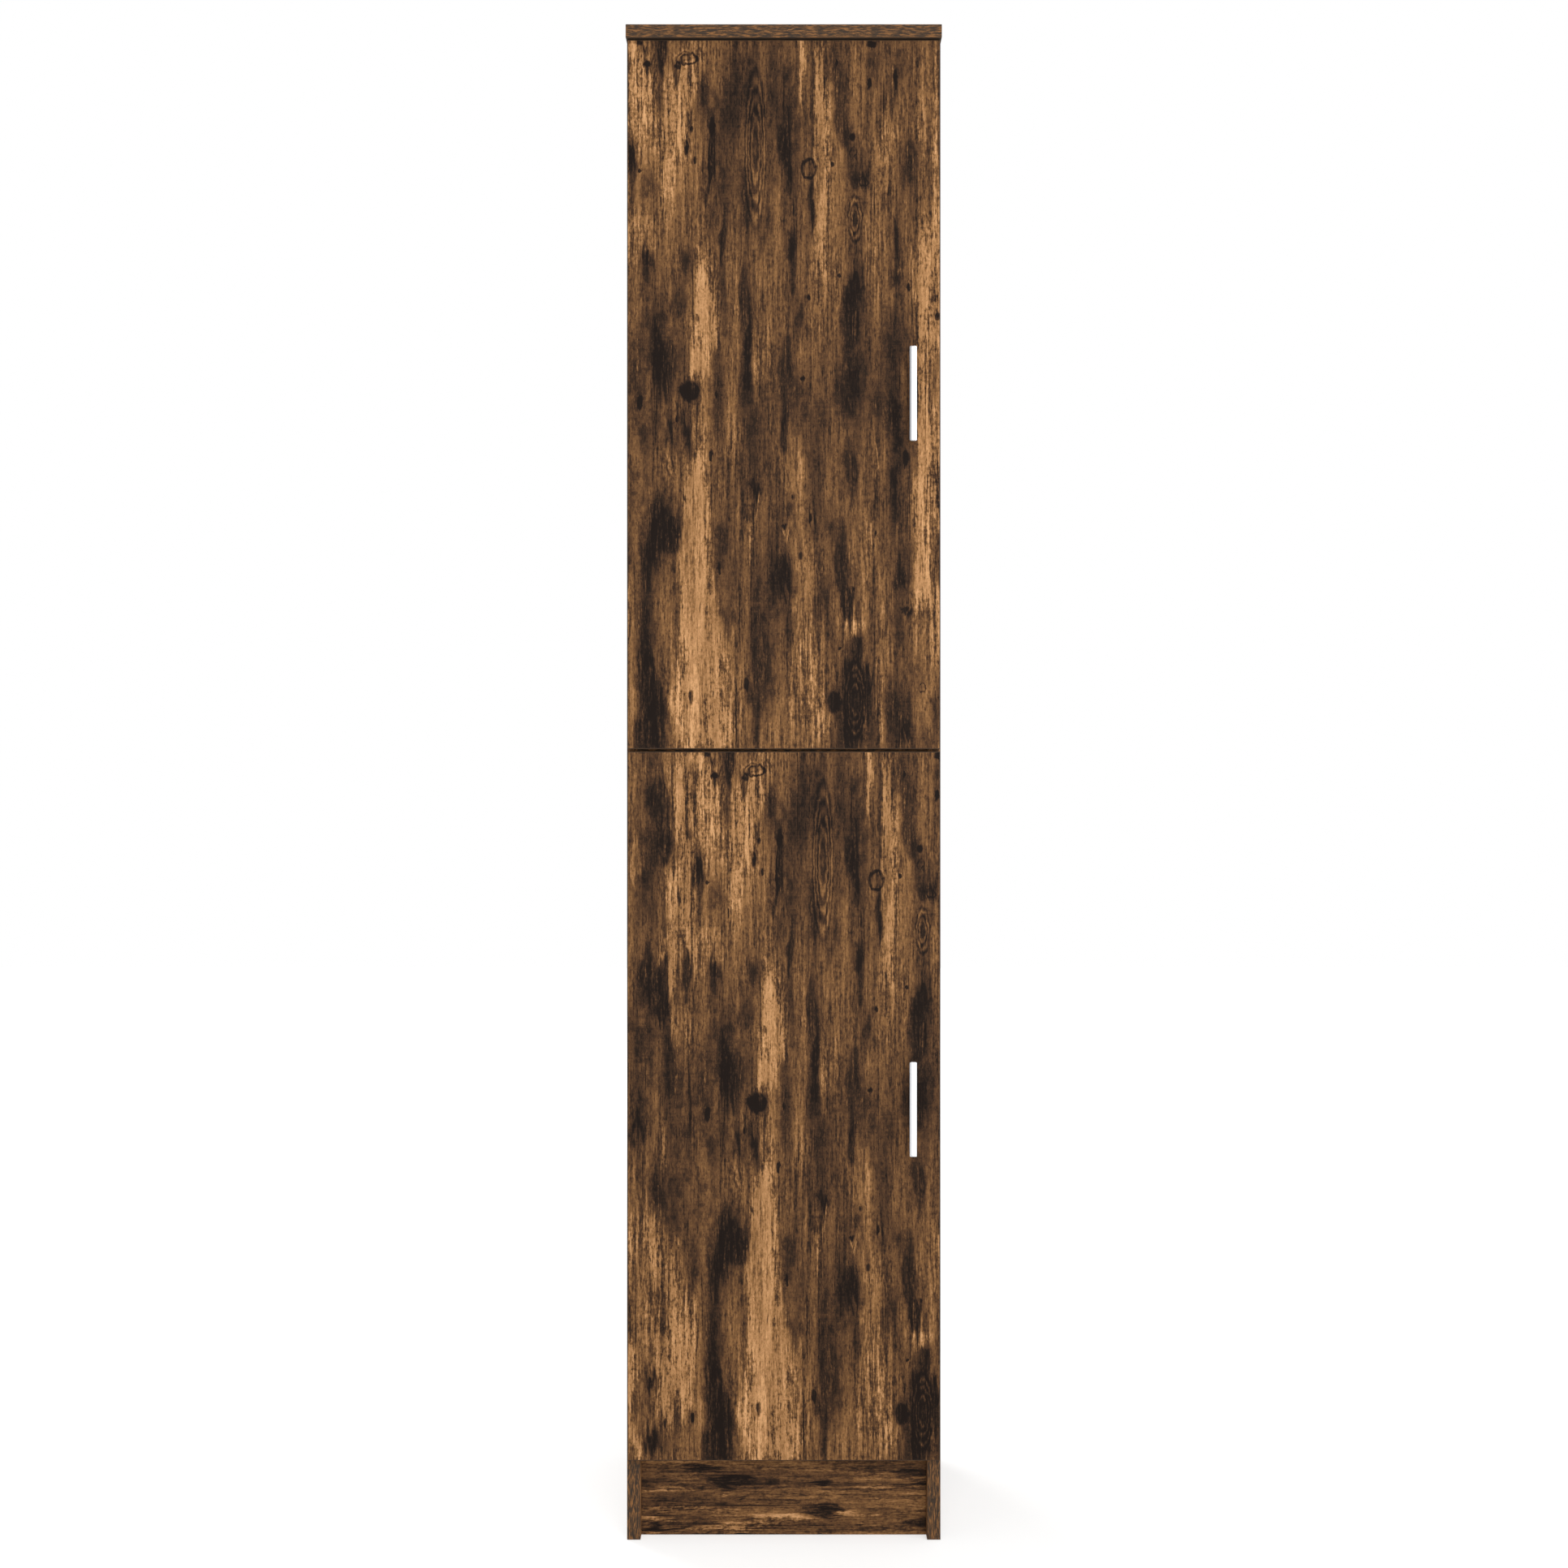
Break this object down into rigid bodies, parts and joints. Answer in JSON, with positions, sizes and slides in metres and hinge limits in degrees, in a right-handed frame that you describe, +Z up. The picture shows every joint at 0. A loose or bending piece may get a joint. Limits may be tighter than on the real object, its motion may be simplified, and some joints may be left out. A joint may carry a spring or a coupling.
{
  "type": "tall two-door cupboard",
  "caption": "Tall narrow cupboard of dark smoked-oak boards with an upper and a lower hinged door, bar handles, shelves behind the doors and a recessed plinth.",
  "frame": {"origin": "middle of the footprint on the floor, measured over everything including the handles", "axes": "+X to the viewer's right, +Y to the back, so the doors face -Y, +Z up"},
  "size_m": [0.374, 0.368, 1.8],
  "materials": {
    "smoked_oak_board": "printed smoked-oak decor on particle board, satin melamine",
    "back_hardboard": "pressed hardboard, raw",
    "dowel_beech": "fluted beech, raw",
    "zinc_casting": "die-cast zinc, matte",
    "handle_satin_nickel": "satin silver plating",
    "hinge_nickel_steel": "nickel-plated pressed steel",
    "fastener_steel": "zinc-plated steel"
  },
  "bodies": {
    "cabinet": {"back_nails": "fastener_steel", "bottom_panel": "smoked_oak_board", "bracket_screws": "fastener_steel", "cam_bolts": "fastener_steel", "cam_locks": "zinc_casting", "left_side_panel": "smoked_oak_board", "lower_arm_pins": "fastener_steel", "lower_arm_screws": "fastener_steel", "lower_back_panel": "back_hardboard", "lower_high_hinge_arm": "hinge_nickel_steel", "lower_high_mounting_plate": "hinge_nickel_steel", "lower_low_hinge_arm": "hinge_nickel_steel", "lower_low_mounting_plate": "hinge_nickel_steel", "lower_plate_screws": "fastener_steel", "lower_shelf_high": "smoked_oak_board", "lower_shelf_low": "smoked_oak_board", "middle_panel": "smoked_oak_board", "plinth_board": "smoked_oak_board", "right_side_panel": "smoked_oak_board", "shelf_pins": "fastener_steel", "top_panel": "smoked_oak_board", "upper_arm_pins": "fastener_steel", "upper_arm_screws": "fastener_steel", "upper_back_panel": "back_hardboard", "upper_high_hinge_arm": "hinge_nickel_steel", "upper_high_mounting_plate": "hinge_nickel_steel", "upper_low_hinge_arm": "hinge_nickel_steel", "upper_low_mounting_plate": "hinge_nickel_steel", "upper_plate_screws": "fastener_steel", "upper_shelf_high": "smoked_oak_board", "upper_shelf_low": "smoked_oak_board", "wall_brackets": "hinge_nickel_steel", "wood_dowels": "dowel_beech"},
    "upper_door": {"upper_cup_pins": "fastener_steel", "upper_cup_screws": "fastener_steel", "upper_door": "smoked_oak_board", "upper_handle": "handle_satin_nickel", "upper_handle_screws": "fastener_steel", "upper_high_hinge_cup": "hinge_nickel_steel", "upper_low_hinge_cup": "hinge_nickel_steel"},
    "upper_outer_links": {"upper_high_outer_link": "hinge_nickel_steel", "upper_low_outer_link": "hinge_nickel_steel"},
    "upper_inner_links": {"upper_high_inner_link": "hinge_nickel_steel", "upper_low_inner_link": "hinge_nickel_steel"},
    "lower_door": {"lower_cup_pins": "fastener_steel", "lower_cup_screws": "fastener_steel", "lower_door": "smoked_oak_board", "lower_handle": "handle_satin_nickel", "lower_handle_screws": "fastener_steel", "lower_high_hinge_cup": "hinge_nickel_steel", "lower_low_hinge_cup": "hinge_nickel_steel"},
    "lower_outer_links": {"lower_high_outer_link": "hinge_nickel_steel", "lower_low_outer_link": "hinge_nickel_steel"},
    "lower_inner_links": {"lower_high_inner_link": "hinge_nickel_steel", "lower_low_inner_link": "hinge_nickel_steel"}
  },
  "joints": [
    {"name": "upper_door_swing", "type": "hinge", "parent": "cabinet", "child": "upper_door", "pos_m": [-0.1794, -0.156, 1.363], "axis": [0, 0, -1], "range_deg": [0, 100]},
    {"name": "upper_outer_link_turn", "type": "hinge", "parent": "cabinet", "child": "upper_outer_links", "pos_m": [-0.162, -0.14595, 1.363], "axis": [0, 0, -1], "range_deg": [-8.5, 0]},
    {"name": "upper_inner_link_turn", "type": "hinge", "parent": "cabinet", "child": "upper_inner_links", "pos_m": [-0.1664, -0.14051, 1.363], "axis": [0, 0, -1], "range_deg": [0, 8.5]},
    {"name": "lower_door_swing", "type": "hinge", "parent": "cabinet", "child": "lower_door", "pos_m": [-0.1794, -0.156, 0.52], "axis": [0, 0, -1], "range_deg": [0, 100]},
    {"name": "lower_outer_link_turn", "type": "hinge", "parent": "cabinet", "child": "lower_outer_links", "pos_m": [-0.162, -0.14595, 0.52], "axis": [0, 0, -1], "range_deg": [-8.5, 0]},
    {"name": "lower_inner_link_turn", "type": "hinge", "parent": "cabinet", "child": "lower_inner_links", "pos_m": [-0.1664, -0.14051, 0.52], "axis": [0, 0, -1], "range_deg": [0, 8.5]}
  ],
  "couplings": [
    {"joint": "upper_outer_link_turn", "follows": "upper_door_swing", "ratio": -0.083302},
    {"joint": "upper_inner_link_turn", "follows": "upper_door_swing", "ratio": 0.081482},
    {"joint": "lower_outer_link_turn", "follows": "lower_door_swing", "ratio": -0.083302},
    {"joint": "lower_inner_link_turn", "follows": "lower_door_swing", "ratio": 0.081482}
  ]
}
